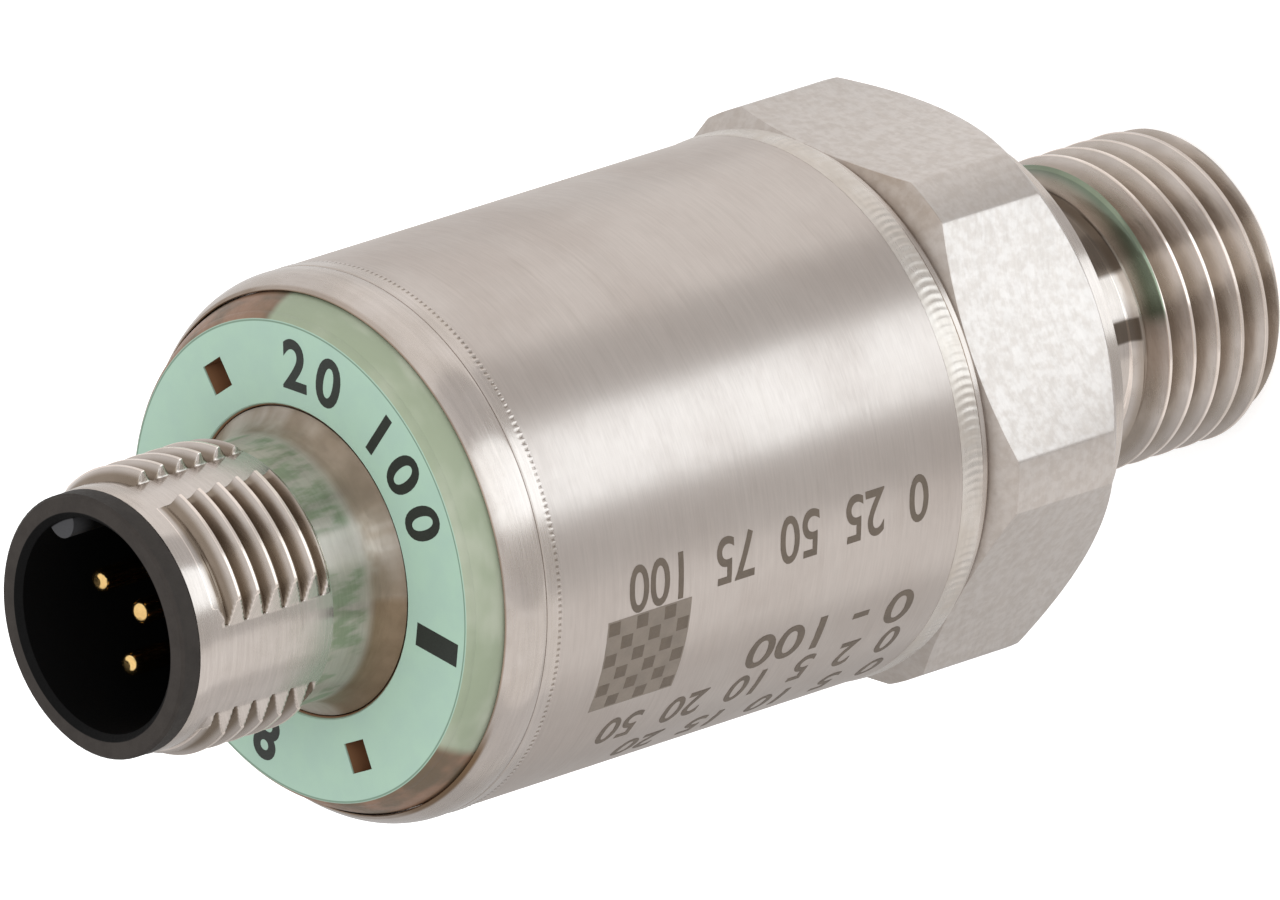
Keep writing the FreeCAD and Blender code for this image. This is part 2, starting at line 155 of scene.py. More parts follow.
def threadedMesh(name, below, thread, above, angles, shape, sharpFrom=32):
    # The rows of the threaded stretch climb one pitch each turn, so crests stay crisp: there is one
    # at each of threadPhases, counted from the crest. shape(radius, height, angle, isThread)
    # gives the point's radius, its height and how deep in the groove it lies.
    pitch, phases = thread["pitch"], threadPhases(thread)
    lowest = math.floor((thread["bottom"] - thread["crestHeight"]) / pitch - 1)
    turns = math.ceil((thread["top"] - thread["bottom"]) / pitch) + 3
    crests = [lowest + turn + phase for turn in range(turns) for phase in phases]
    rows = len(below) + len(crests) + len(above)
    vertices, grooves = [], []
    for angle in angles:
        c, s = heading(angle)
        column = [shape(r, z, angle, False) for r, z in below]
        for crest in crests:
            height = thread["crestHeight"] + pitch * (crest + (angle - thread["crestAngle"]) / 360)
            height = min(max(height, thread["bottom"]), thread["top"])
            column.append(shape(0, height, angle, True))
        column += [shape(r, z, angle, False) for r, z in above]
        vertices += [(radius * c, radius * s, height) for radius, height, groove in column]
        grooves += [groove for radius, height, groove in column]
    faces = []
    first, last = len(below), len(below) + len(crests)
    for j in range(len(angles)):
        k = (j + 1) % len(angles)
        if k:
            pairs = [(i, i) for i in range(rows)]
        else:  # at the seam each row meets the one that is a pitch further on
            pairs = [(i, i) for i in range(first)]
            pairs += [(i, i + len(phases)) for i in range(first, last - len(phases))]
            pairs += [(i, i) for i in range(last, rows)]
        for (a, b), (c, d) in zip(pairs, pairs[1:] + pairs[:1]):
            faces.append((j * rows + a, k * rows + b, k * rows + d, j * rows + c))
    return finishedMesh(name, vertices, faces, sharpFrom, grooves)


def eased(value, low, high):
    t = min(max((value - low) / (high - low), 0), 1)
    return t * t * (3 - 2 * t)


def smaller(a, b, soft):
    # the smaller of two numbers, rounded where they cross
    t = max(soft - abs(a - b), 0) / soft
    return min(a, b) - t * t * soft / 4


def threadPhases(thread, steps=6):
    # rows over one pitch: a small flat on the crest, straight flanks, a small flat in the root
    crest, root = thread["threadCrest"], thread["threadRoot"]
    flank = [crest + (0.5 - root - crest) * i / steps for i in range(steps + 1)]
    return [0.0] + flank + [0.5] + [1 - phase for phase in reversed(flank)]


def threadDepth(thread, height, angle):
    # 0 on the crest, 1 in the root
    crest, root = thread["threadCrest"], thread["threadRoot"]
    phase = (height - thread["crestHeight"]) / thread["pitch"] - (angle - thread["crestAngle"]) / 360
    away = abs((phase + 0.5) % 1 - 0.5)
    return min(max((away - crest) / (0.5 - root - crest), 0), 1)


def newMaterial(name, metallic=0.0, **constants):
    made = bpy.data.materials.new(name)
    made.use_nodes = True
    shader = made.node_tree.nodes["Principled BSDF"]
    shader.inputs["Metallic"].default_value = metallic
    for socket, value in constants.items():
        shader.inputs[socket].default_value = value
    return made, made.node_tree, shader


def addNode(tree, kind, inputs=None, **settings):
    made = tree.nodes.new(kind)
    for key, value in settings.items():
        setattr(made, key, value)
    for key, value in (inputs or {}).items():
        if isinstance(value, bpy.types.NodeSocket):
            tree.links.new(value, made.inputs[key])
        else:
            made.inputs[key].default_value = value
    return made


def calc(tree, operation, a, b=0.0, c=0.0):
    return addNode(tree, "ShaderNodeMath", {0: a, 1: b, 2: c}, operation=operation).outputs[0]


def product(tree, first, *others):
    for factor in others:
        first = calc(tree, "MULTIPLY", first, factor)
    return first


def atLeast(tree, amount, least):
    # lifts an amount from 0 ... 1 to least ... 1
    return calc(tree, "ADD", product(tree, amount, 1 - least), least)


def ramped(tree, value, low, high, fromValue=0.0, toValue=1.0):
    return addNode(tree, "ShaderNodeMapRange", {
        "Value": value, "From Min": low, "From Max": high, "To Min": fromValue, "To Max": toValue,
    }, interpolation_type="SMOOTHSTEP").outputs[0]


def blended(tree, amount, first, second):
    made = addNode(tree, "ShaderNodeMix", data_type="RGBA")
    for socket, value in ((made.inputs[0], amount), (made.inputs[6], first), (made.inputs[7], second)):
        if isinstance(value, bpy.types.NodeSocket):
            tree.links.new(value, socket)
        else:
            socket.default_value = (*value, 1) if isinstance(value, tuple) else value
    return made.outputs[2]


def placeOn(tree):
    # position in millimetres, with its distance from the axis and its angle in degrees
    where = addNode(tree, "ShaderNodeTexCoord").outputs["Object"]
    inMillimetres = addNode(tree, "ShaderNodeVectorMath", {0: where, 3: 1 / millimetre},
                            operation="SCALE").outputs[0]
    axes = addNode(tree, "ShaderNodeSeparateXYZ", {0: inMillimetres}).outputs
    radius = calc(tree, "SQRT", calc(tree, "ADD", product(tree, axes[0], axes[0]),
                                     product(tree, axes[1], axes[1])))
    angle = product(tree, calc(tree, "ARCTAN2", axes[1], axes[0]), 180 / math.pi)
    return {"point": inMillimetres, "x": axes[0], "y": axes[1], "z": axes[2],
            "radius": radius, "angle": angle}


def aroundAxis(tree, place, along, across):
    # stretches a texture round the axis: along is its count for each millimetre round a circle of
    # 10 mm, across its count for each millimetre up the axis
    size = calc(tree, "MAXIMUM", place["radius"], 0.01)
    x = product(tree, calc(tree, "DIVIDE", place["x"], size), 10 * along)
    y = product(tree, calc(tree, "DIVIDE", place["y"], size), 10 * along)
    level = product(tree, calc(tree, "ADD", place["z"], place["radius"]), across)
    return addNode(tree, "ShaderNodeCombineXYZ", {0: x, 1: y, 2: level}).outputs[0]


def cloud(tree, vector, scale, detail=3.0, roughness=0.55):
    return addNode(tree, "ShaderNodeTexNoise", {
        "Vector": vector, "Scale": scale, "Detail": detail, "Roughness": roughness}).outputs[0]


def finishSurface(tree, shader, colour, roughness, height, depth):
    tree.links.new(colour, shader.inputs["Base Color"])
    tree.links.new(roughness, shader.inputs["Roughness"])
    bump = addNode(tree, "ShaderNodeBump", {"Height": height, "Strength": 1.0,
                                            "Distance": depth * millimetre})
    tree.links.new(bump.outputs[0], shader.inputs["Normal"])


def steelMaterial(name, look, overlay=None):
    # turned, ground or milled stainless steel: fine lines round the axis over cloudy patches
    made, tree, shader = newMaterial(name, metallic=1.0, Anisotropic=look["anisotropy"],
                                     **{"Anisotropic Rotation": 0.25})
    place = placeOn(tree)
    lines = cloud(tree, aroundAxis(tree, place, *look["lines"]), 1.0, 4.0, 0.65)
    fine = cloud(tree, aroundAxis(tree, place, look["lines"][0] * 3, look["lines"][1] * 3.5), 1.0, 2.0)
    patches = cloud(tree, place["point"], look["patchScale"], 4.0, 0.6)
    colour = blended(tree, ramped(tree, patches, 0.35, 0.65), look["tint"], look["otherTint"])
    shade = ramped(tree, lines, 0.3, 0.7, 1 - look["lineContrast"], 1 + look["lineContrast"])
    colour = addNode(tree, "ShaderNodeVectorMath", {0: colour, 3: shade}, operation="SCALE").outputs[0]
    # the function passed in paints wear, painted shade and painted reflections over the colour
    colour = overlay(tree, place, colour) if overlay else colour
    rough = calc(tree, "ADD", ramped(tree, patches, 0.3, 0.7, *look["roughness"]),
                 ramped(tree, fine, 0.3, 0.7, -look["roughnessNoise"], look["roughnessNoise"]))
    relief = calc(tree, "ADD", lines, product(tree, fine, 0.5))
    finishSurface(tree, shader, colour, rough, relief, look["depth"])
    if look["anisotropy"]:
        tangent = addNode(tree, "ShaderNodeTangent", direction_type="RADIAL", axis="Z")
        tree.links.new(tangent.outputs[0], shader.inputs["Tangent"])
    return made


def darkerBy(tree, colour, amount, shade):
    # shade where amount is 1, colour where it is 0
    multiplied = addNode(tree, "ShaderNodeVectorMath", {0: colour, 1: shade}, operation="MULTIPLY")
    return blended(tree, amount, colour, multiplied.outputs[0])


def between(tree, value, low, high, soft):
    # 1 from low to high, fading to 0 over soft
    return product(tree, ramped(tree, value, low - soft, low), ramped(tree, value, high + soft, high))


crestGrooveValue = 0.1   # what a thread's crest has in the mesh's groove values, where a root has 1


def grooveValueAt(depth):
    return crestGrooveValue + (1 - crestGrooveValue) * depth


def threadShadeAndHighlight(tree, colour, shade, crestHighlight=(1.45, 1.42, 1.40)):
    # painted shade darkens the grooves and a painted highlight lightens the crests
    groove = addNode(tree, "ShaderNodeAttribute", attribute_name="groove").outputs["Fac"]
    onCrest = between(tree, groove, crestGrooveValue - 0.02, crestGrooveValue + 0.02, 0.03)
    colour = darkerBy(tree, colour, onCrest, crestHighlight)
    return darkerBy(tree, colour, ramped(tree, groove, 0.2, 0.65), shade)


sleeveLook = {
    "tint": (0.555, 0.495, 0.455), "otherTint": (0.525, 0.462, 0.422), "patchScale": 0.16,
    "lines": (0.5, 9.0), "lineContrast": 0.035, "roughness": (0.36, 0.44), "roughnessNoise": 0.05,
    "anisotropy": 0.85, "depth": 0.004}
turnedLook = {
    "tint": (0.56, 0.50, 0.46), "otherTint": (0.51, 0.45, 0.405), "patchScale": 0.3,
    "lines": (0.25, 7.0), "lineContrast": 0.05, "roughness": (0.20, 0.28), "roughnessNoise": 0.04,
    "anisotropy": 0.6, "depth": 0.003}
milledLook = {
    "tint": (0.565, 0.515, 0.48), "otherTint": (0.515, 0.46, 0.42), "patchScale": 2.4,
    "lines": (0.9, 4.0), "lineContrast": 0.03, "roughness": (0.34, 0.40), "roughnessNoise": 0.04,
    "anisotropy": 0.0, "depth": 0.004}
polishedLook = {
    "tint": (0.54, 0.49, 0.44), "otherTint": (0.50, 0.45, 0.39), "patchScale": 0.5,
    "lines": (0.3, 8.0), "lineContrast": 0.05, "roughness": (0.38, 0.44), "roughnessNoise": 0.04,
    "anisotropy": 0.9, "depth": 0.001}
weldLook = {
    "tint": (0.60, 0.55, 0.505), "otherTint": (0.55, 0.49, 0.435), "patchScale": 0.5,
    "lines": (0.8, 5.0), "lineContrast": 0.04, "roughness": (0.28, 0.38), "roughnessNoise": 0.05,
    "anisotropy": 0.0, "depth": 0.003}

weld = {
    "ripple": 0.36, "rippleHeight": 0.022, "crown": 0.05, "lap": 0.14, "edgeSink": 0.22,
    "stopAngle": 43.0, "craterDepth": 0.05,                       # where the lower bead ends
    # the last shade on the next line is painted shade for the gaps between the teeth
    "teethCount": 265, "toothDrop": 0.13, "toothSwell": 0.03, "gapShade": (0.40, 0.35, 0.30)}

# wear, painted shade and painted reflections of each piece: shades to multiply by, and where they
# lie in millimetres and degrees, some with how softly they end
sleeveWear = {"pitScale": 0.2, "pitSize": 0.016, "pitShade": (0.35, 0.3, 0.27), "pittedScale": 0.09,
              "scuffs": (0.12, 1.6), "scuffShade": (0.95, 0.945, 0.94)}


def sleeveStain(tree, place, colour):
    # a few small pits, and faint scuffs round the tube
    w = sleeveWear
    pits = addNode(tree, "ShaderNodeTexVoronoi", {"Vector": place["point"], "Scale": w["pitScale"]})
    where = ramped(tree, cloud(tree, place["point"], w["pittedScale"], 1.0), 0.50, 0.56)
    pit = ramped(tree, pits.outputs["Distance"], w["pitSize"], w["pitSize"] * 0.5)
    colour = darkerBy(tree, colour, product(tree, pit, where), w["pitShade"])
    scuffs = cloud(tree, aroundAxis(tree, place, *w["scuffs"]), 1.0, 5.0, 0.7)
    return darkerBy(tree, colour, ramped(tree, scuffs, 0.56, 0.72), w["scuffShade"])


studWearAndShade = {
    # the groove shade is painted shade in the thread roots
    "groove": (0.74, 0.70, 0.65),
    "flankStart": (-5.24, -5.16), "flankEnd": (-4.35, -4.9), "flankAngles": (-8, 95, 8),
    "flank": (0.27, 0.36, 0.29),
    "undercutHeights": (-4.3, -1.6, 0.15), "undercutAngles": ((-18, -10, 1.5), (12, 75, 3)),
    # the undercut shade is a painted dark reflection
    "undercut": (0.26, 0.23, 0.20),
    "scorchHeights": ((9.0, 9.08, 0.04), (9.36, 9.6, 0.05)), "scorch": (0.34, 0.27, 0.21)}


def inEither(tree, value, ranges):
    first, second = [between(tree, value, *limits) for limits in ranges]
    return calc(tree, "MAXIMUM", first, second)


def studStainAndShade(tree, place, colour):
    # painted shade in the thread grooves and a painted highlight on the crests, a green first flank,
    # painted dark reflections on two stretches of undercut with a bright gap between them, and heat colour on
    # the land under the weld
    w, z, angle = studWearAndShade, place["z"], place["angle"]
    colour = threadShadeAndHighlight(tree, colour, w["groove"])
    flank = product(tree, ramped(tree, z, *w["flankStart"]), ramped(tree, z, *w["flankEnd"]),
                    between(tree, angle, *w["flankAngles"]))
    colour = darkerBy(tree, colour, flank, w["flank"])
    # painted dark reflection on two stretches of the undercut
    under = product(tree, between(tree, z, *w["undercutHeights"]), inEither(tree, angle, w["undercutAngles"]))
    colour = darkerBy(tree, colour, under, w["undercut"])
    patches = ramped(tree, cloud(tree, aroundAxis(tree, place, 0.08, 0.6), 1.0, 3.0), 0.35, 0.6)
    lines = product(tree, inEither(tree, z, w["scorchHeights"]), atLeast(tree, patches, 0.5))
    return darkerBy(tree, colour, lines, w["scorch"])


hexagonPaintedShade = {"coneTop": 15.28, "coneSlope": 30.0,   # the cone that turned the corners off
               # the angles where the painted shade on the corners is strongest, then that painted shade
               "shadedAngles": (weld["stopAngle"] - 14, weld["stopAngle"] + 6, 6),
               "chamfer": (0.74, 0.67, 0.60)}


def paintHexagonShade(tree, place, colour):
    # painted shade on the turned corners over the flats, most of all beside the end of the weld
    w = hexagonPaintedShade
    drop = product(tree, place["radius"], math.tan(math.radians(w["coneSlope"])))
    above = calc(tree, "SUBTRACT", place["z"], calc(tree, "SUBTRACT", w["coneTop"], drop))
    patches = ramped(tree, cloud(tree, place["point"], 0.25, 3.0), 0.3, 0.6, 0.4, 1.0)
    shaded = atLeast(tree, between(tree, place["angle"], *w["shadedAngles"]), 0.2)
    amount = product(tree, ramped(tree, above, -0.05, -0.02), product(tree, patches, shaded))
    return darkerBy(tree, colour, amount, w["chamfer"])


# painted shade for the cap's thread grooves and its lip
capPaintedShade = {"groove": (0.46, 0.41, 0.35), "lip": (0.42, 0.30, 0.19), "lipEdge": 0.12,
           "lipAngles": ((58, 150, 25), (-112, -62, 14))}


def paintCapShade(tree, place, colour):
    # painted shade in the thread grooves with a painted highlight on the crests, painted brown shade along
    # the lip's edge at the ring, and painted brown reflections in streaks on two sides
    w, radius, inner = capPaintedShade, place["radius"], lipRadius - capPaintedShade["lipEdge"]
    colour = threadShadeAndHighlight(tree, colour, w["groove"])
    edge = between(tree, radius, inner, lipRadius + 0.01, 0.06)
    wide = product(tree, between(tree, radius, inner, lipRadius + 0.1, 0.1),
                   inEither(tree, place["angle"], w["lipAngles"]))
    streaks = ramped(tree, cloud(tree, aroundAxis(tree, place, 0.10, 1.4), 1.0, 4.0), 0.40, 0.56)
    amount = calc(tree, "MAXIMUM", product(tree, edge, 0.75),
                  product(tree, wide, atLeast(tree, streaks, 0.4)))
    level = between(tree, place["z"], lipHeight - 0.4, lipHeight + 0.1, 0.1)
    return darkerBy(tree, colour, product(tree, amount, level), w["lip"])


# painted reflections on the polished neck: the ring's green, and brown on its foot
neckPaintedReflections = {"greenStart": (37.3, 37.9), "bareAngles": (-6, 6, 5), "green": (0.56, 0.70, 0.55),
            "footEnd": (37.7, 37.1), "footAngles": (-90, -28, 12), "foot": (0.48, 0.39, 0.29)}


def paintNeckReflections(tree, place, colour):
    # painted reflection of the ring's green in streaks on the polished neck, and a painted brown reflection
    # on its foot in places
    w, z, angle = neckPaintedReflections, place["z"], place["angle"]
    streaks = cloud(tree, aroundAxis(tree, place, 0.7, 0.4), 1.0, 4.0)
    bare = calc(tree, "SUBTRACT", 1, between(tree, angle, *w["bareAngles"]))
    green = product(tree, ramped(tree, streaks, 0.42, 0.60, 0.15, 1.0), bare)
    colour = darkerBy(tree, colour, product(tree, ramped(tree, z, *w["greenStart"]), green), w["green"])
    patches = cloud(tree, aroundAxis(tree, place, 0.14, 0.5), 1.0, 4.0)
    patches = calc(tree, "MAXIMUM", ramped(tree, patches, 0.42, 0.58, 0.15, 0.75),
                   between(tree, angle, *w["footAngles"]))
    return darkerBy(tree, colour, product(tree, ramped(tree, z, *w["footEnd"]), patches), w["foot"])


def paintToothGapShade(tree, place, colour):
    # painted shade: a dark mark in each gap between the teeth of the upper weld
    wave = calc(tree, "COSINE", product(tree, place["angle"], math.radians(weld["teethCount"])))
    strength = cloud(tree, aroundAxis(tree, place, 0.05, 0.1), 1.0, 2.0)
    amount = product(tree, ramped(tree, wave, 0.0, -0.6),
                     between(tree, place["z"], sleeveTop - 0.2, sleeveTop + 0.02, 0.05),
                     ramped(tree, strength, 0.3, 0.55, 0.3, 1.0))
    return darkerBy(tree, colour, amount, weld["gapShade"])


sleeveSteel = steelMaterial("ground sleeve steel", sleeveLook, sleeveStain)
turnedSteel = steelMaterial("turned steel", turnedLook)
studSteel = steelMaterial("turned stud steel", turnedLook, studStainAndShade)
capSteel = steelMaterial("turned cap steel", turnedLook, paintCapShade)
milledSteel = steelMaterial("milled hexagon steel", milledLook, paintHexagonShade)
toothSteel = steelMaterial("toothed weld steel", turnedLook, paintToothGapShade)
polishedSteel = steelMaterial("polished neck steel", polishedLook, paintNeckReflections)
weldSteel = steelMaterial("straw coloured weld", weldLook)


def plasticMaterial(name, look, tinted=None):
    made, tree, shader = newMaterial(name, **{"Specular IOR Level": look.get("specular", 0.5)})
    place = placeOn(tree)
    grain = cloud(tree, place["point"], look["grain"], 4.0, 0.6)
    patches = cloud(tree, place["point"], look["grain"] * 0.12, 3.0)
    colour = blended(tree, ramped(tree, patches, 0.3, 0.7), look["tint"], look["otherTint"])
    colour = tinted(tree, place, colour) if tinted else colour
    rough = ramped(tree, grain, 0.3, 0.7, *look["roughness"])
    finishSurface(tree, shader, colour, rough, grain, look["depth"])
    return made


ringInner, ringOuter = 6.42, 9.95   # edges of the ring's face
ringLook = {
    "tint": (0.37, 0.53, 0.425), "otherTint": (0.355, 0.505, 0.42), "grain": 6.0,
    "roughness": (0.38, 0.5), "depth": 0.003, "specular": 0.3,
    # the side, edge and brown side colours below are painted shade
    "side": (0.29, 0.335, 0.235), "otherSide": (0.40, 0.43, 0.335),
    "edge": (0.10, 0.16, 0.11), "edgeWidth": 0.07, "pocket": (0.22, 0.11, 0.055),
    "overlay": (0.12, 0.075, 0.045), "otherOverlay": (0.25, 0.13, 0.08), "overlayStrength": 0.92,
    "overlayAngles": (((72, 75), (165, 125)), ((-59, -63), (-150, -112)))}   # where it starts and ends


def ringColours(tree, place, colour):
    # painted shade: the side olive and darker than the face, a dark line along both edges of the face, and
    # brown on the side at two stretches of angle; brown in the windows
    look, radius, angle = ringLook, place["radius"], place["angle"]
    streaks = cloud(tree, aroundAxis(tree, place, 0.25, 1.2), 1.0, 3.0)
    side = blended(tree, ramped(tree, streaks, 0.4, 0.7), look["side"], look["otherSide"])
    upper, lower = [product(tree, ramped(tree, angle, *start), ramped(tree, angle, *end))
                    for start, end in look["overlayAngles"]]
    overlay = blended(tree, ramped(tree, streaks, 0.42, 0.6), look["overlay"], look["otherOverlay"])
    overlaid = product(tree, calc(tree, "MAXIMUM", upper, lower), look["overlayStrength"])
    side = blended(tree, overlaid, side, overlay)
    colour = blended(tree, ramped(tree, radius, ringOuter + 0.01, ringOuter + 0.05), colour, side)
    width = look["edgeWidth"]
    outerLine, innerLine = [calc(tree, "ABSOLUTE", calc(tree, "SUBTRACT", radius, middle))
                            for middle in (ringOuter - width / 2, ringInner + width / 2)]
    line = ramped(tree, calc(tree, "MINIMUM", outerLine, innerLine), width * 0.7, width * 0.35)
    colour = blended(tree, product(tree, line, 0.7), colour, look["edge"])
    inPocket = product(tree, ramped(tree, place["z"], ringTop - 0.04, ringTop - 0.1),
                       ramped(tree, radius, ringOuter - 0.1, ringOuter - 0.2))
    return blended(tree, inPocket, colour, look["pocket"])


ringPlastic = plasticMaterial("mint ring plastic", ringLook, ringColours)

insertLook = {"tint": (0.034, 0.029, 0.026), "otherTint": (0.042, 0.036, 0.032), "grain": 9.0,
              "roughness": (0.55, 0.68), "depth": 0.004, "specular": 0.12,
              "cavity": (0.0015, 0.0014, 0.0014), "key": (0.055, 0.055, 0.058)}


def insertColours(tree, place, colour):
    # painted shade: inside the rim the socket's cavity is near black, with the key in it a little lighter
    inside = ramped(tree, place["radius"], 4.74, 4.69)
    colour = blended(tree, inside, colour, insertLook["cavity"])
    onKey = product(tree, inside, ramped(tree, place["z"], insertTop - 1.6, insertTop - 0.5),
                    ramped(tree, place["radius"], 4.42, 4.36))
    return blended(tree, onKey, colour, insertLook["key"])


insertPlastic = plasticMaterial("dark insert plastic", insertLook, insertColours)


def plainPlastic(name, tint, roughness=(0.4, 0.55), grain=3.0):
    other = tuple(c * 0.85 for c in tint)
    return plasticMaterial(name, {"tint": tint, "otherTint": other, "grain": grain,
                                  "roughness": roughness, "depth": 0.003})


goldLook = dict(polishedLook, tint=(0.86, 0.58, 0.24), otherTint=(0.78, 0.50, 0.19), anisotropy=0.0,
                roughness=(0.14, 0.20))
goldContact = steelMaterial("gold contact", goldLook)
printInk = plainPlastic("dark print", (0.011, 0.015, 0.011), (0.5, 0.6), 12.0)
etchedMark = plainPlastic("etched brown", (0.135, 0.10, 0.07), (0.5, 0.65), 14.0)
paleMark = plainPlastic("pale etched brown", (0.24, 0.195, 0.155), (0.5, 0.65), 8.0)
print("materials made")


# stud, collar and hexagon, which are one turned bar
connection = {
    "threadRadius": 13.157 / 2, "pitch": 25.4 / 19, "threadHeight": 0.80,
    "threadCrest": 0.05, "threadRoot": 0.05,
    "crestHeight": -5.26, "crestAngle": -24.0,   # a crest of the right-hand thread passes here
    "endChamfer": 0.72, "undercutRadius": 5.6, "undercutTop": -4.0, "undercutFillet": 0.7,
    "collarRadius": 9.5, "collarHeight": 1.8,
    "flats": 22.0, "cornerRadius": 12.1, "faceRadius": 10.88, "hexagonTop": 9.0, "chamferSlope": 30.0,
    "landRadius": 11.1, "landTop": 9.5, "spigotRadius": 10.55,
    "boreRadius": 1.5, "cellSeat": 11.4, "cellPocketRadius": 6.0}


def hexagonReach(angle):
    side = (angle + 30) % 60 - 30
    flat = connection["flats"] / 2 / math.cos(math.radians(side))
    return smaller(flat, connection["cornerRadius"], 0.03)


def connectionShape(radius, height, angle, isThread):
    c = connection
    if isThread:
        depth = threadDepth(c, height, angle)
        cut = c["threadRadius"] - c["threadHeight"] * depth
        lead = c["threadRadius"] - c["endChamfer"] + (height - connectionBottom)
        runOut = c["undercutRadius"] + (c["undercutTop"] - height) * 0.9
        # the groove value places the painted shade in the roots and the painted highlight on the crests
        return min(cut, lead, max(runOut, c["undercutRadius"])), height, grooveValueAt(depth)
    if isinstance(radius, str):  # the rows of the hexagon bend to its corners
        out = hexagonReach(angle)
        rise = out - c["faceRadius"]
        ease = min(0.05, rise * 0.4)
        upper = c["hexagonTop"] - rise * math.tan(math.radians(c["chamferSlope"]))
        lower = c["collarHeight"] + rise
        return {"low": (out - ease, lower - ease, 0), "lowEdge": (out - ease * 0.2, lower + ease * 0.2, 0),
                "wallLow": (out, lower + 0.06, 0), "wallHigh": (out, upper - 0.06, 0),
                "highEdge": (out - ease * 0.2, upper + ease * 0.1, 0),
                "high": (out - ease, upper + ease * 0.6, 0)}[radius]
    return radius, height, 0


def makeConnection():
    c = connection
    bottom = connectionBottom
    endRadius = c["threadRadius"] - c["endChamfer"]
    corner = math.degrees(math.acos(c["flats"] / 2 / c["cornerRadius"]))   # where a flat ends
    angles = evenAngles(300, [60 * i + s * (corner + d) for i in range(6) for s in (1, -1)
                              for d in (-0.5, -0.2, 0, 0.2, 0.5)])
    below = [(c["cellPocketRadius"], connectionTop), (c["cellPocketRadius"], c["cellSeat"]),
             (c["boreRadius"], c["cellSeat"]), (c["boreRadius"], bottom + 0.6),
             (c["boreRadius"] + 0.6, bottom), (endRadius - 0.1, bottom), (endRadius - 0.03, bottom + 0.01)]
    fillet = c["undercutFillet"]
    curve = [(c["undercutRadius"] + fillet * (1 - math.cos(math.radians(t))),
              -fillet * (1 - math.sin(math.radians(t)))) for t in range(0, 91, 10)]
    collar = [(c["undercutRadius"], c["undercutTop"] + 0.2)] + curve + [
        (c["collarRadius"] - 0.2, 0), (c["collarRadius"] - 0.06, 0.05), (c["collarRadius"], 0.2),
        (c["collarRadius"], c["collarHeight"] - 0.15), (c["collarRadius"] + 0.05, c["collarHeight"] - 0.03),
        (c["collarRadius"] + 0.15, c["collarHeight"]), (c["faceRadius"], c["collarHeight"])]
    hexagon = [(row, 0) for row in ("low", "lowEdge", "wallLow", "wallHigh", "highEdge", "high")]
    top = [(c["faceRadius"] + 0.02, c["hexagonTop"]), (c["landRadius"] - 0.05, c["hexagonTop"] + 0.01),
           (c["landRadius"], c["hexagonTop"] + 0.08), (c["landRadius"], c["landTop"]),
           (c["spigotRadius"], c["landTop"]), (c["spigotRadius"], connectionTop)]
    thread = dict(c, bottom=bottom + 0.02, top=c["undercutTop"] + 0.1)
    mesh = threadedMesh("connectionBody", below, thread, collar + hexagon + top, angles, connectionShape, 24)
    placed("connectionBody", mesh, studSteel, ["process_connection"])

    def milled(height, out):  # the hexagon's faces are milled, the rest is turned
        return c["collarHeight"] - 0.01 < height < c["hexagonTop"] + 0.01 and out > c["faceRadius"] - 0.05

    addSecondMaterial(mesh, milledSteel, milled)


makeConnection()
print("connection made")


dressed("housing_sleeve", sleeveSteel)


def makeLowerWeld():
    low, high = lowerWeldBottom - 0.02, sleeveBottom + weld["lap"]
    middle, half = (low + high) / 2, (high - low) / 2
    count = round(2 * math.pi * sleeveRadius / weld["ripple"])
    inner = connection["spigotRadius"]
    outline = [(inner, low), (connection["landRadius"] - 0.05, low)]
    steps = 14
    for i in range(steps + 1):
        outline.append((sleeveRadius, low + (high - low) * i / steps))
    outline += [(sleeveRadius - 0.05, high), (sleeveRadius - 0.05, sleeveBottom), (inner, sleeveBottom)]

    def beaded(radius, height, angle):
        if radius < sleeveRadius:
            return radius, height
        t = (height - middle) / half
        wander = 0.05 * math.sin(math.radians(angle * 7)) + 0.03 * math.sin(math.radians(angle * 19 + 40))
        turn = angle / 360 * count + 0.55 * t * t + 0.2 * math.sin(math.radians(angle * 11))
        ripple = (0.5 + 0.5 * math.cos(2 * math.pi * turn)) ** 1.5 * weld["rippleHeight"]
        dome = weld["crown"] * math.sqrt(max(1 - t * t, 0))
        sink = -weld["edgeSink"] * eased(-t, 0.72, 1)   # its lower edge runs down onto the land
        away = math.hypot((angle - weld["stopAngle"]) / 3.2, t - 0.5)
        sink -= weld["craterDepth"] * math.exp(-(away / 0.35) ** 2)   # small crater where the bead ends
        return sleeveRadius + dome + ripple * (1 - t * t) + sink, height + wander * (1 - abs(t)) * 0.5

    mesh = turnedMesh("lowerWeldBead", outline, evenAngles(count * 5), beaded, 40)
    placed("lowerWeldBead", mesh, weldSteel, ["lower_weld"])


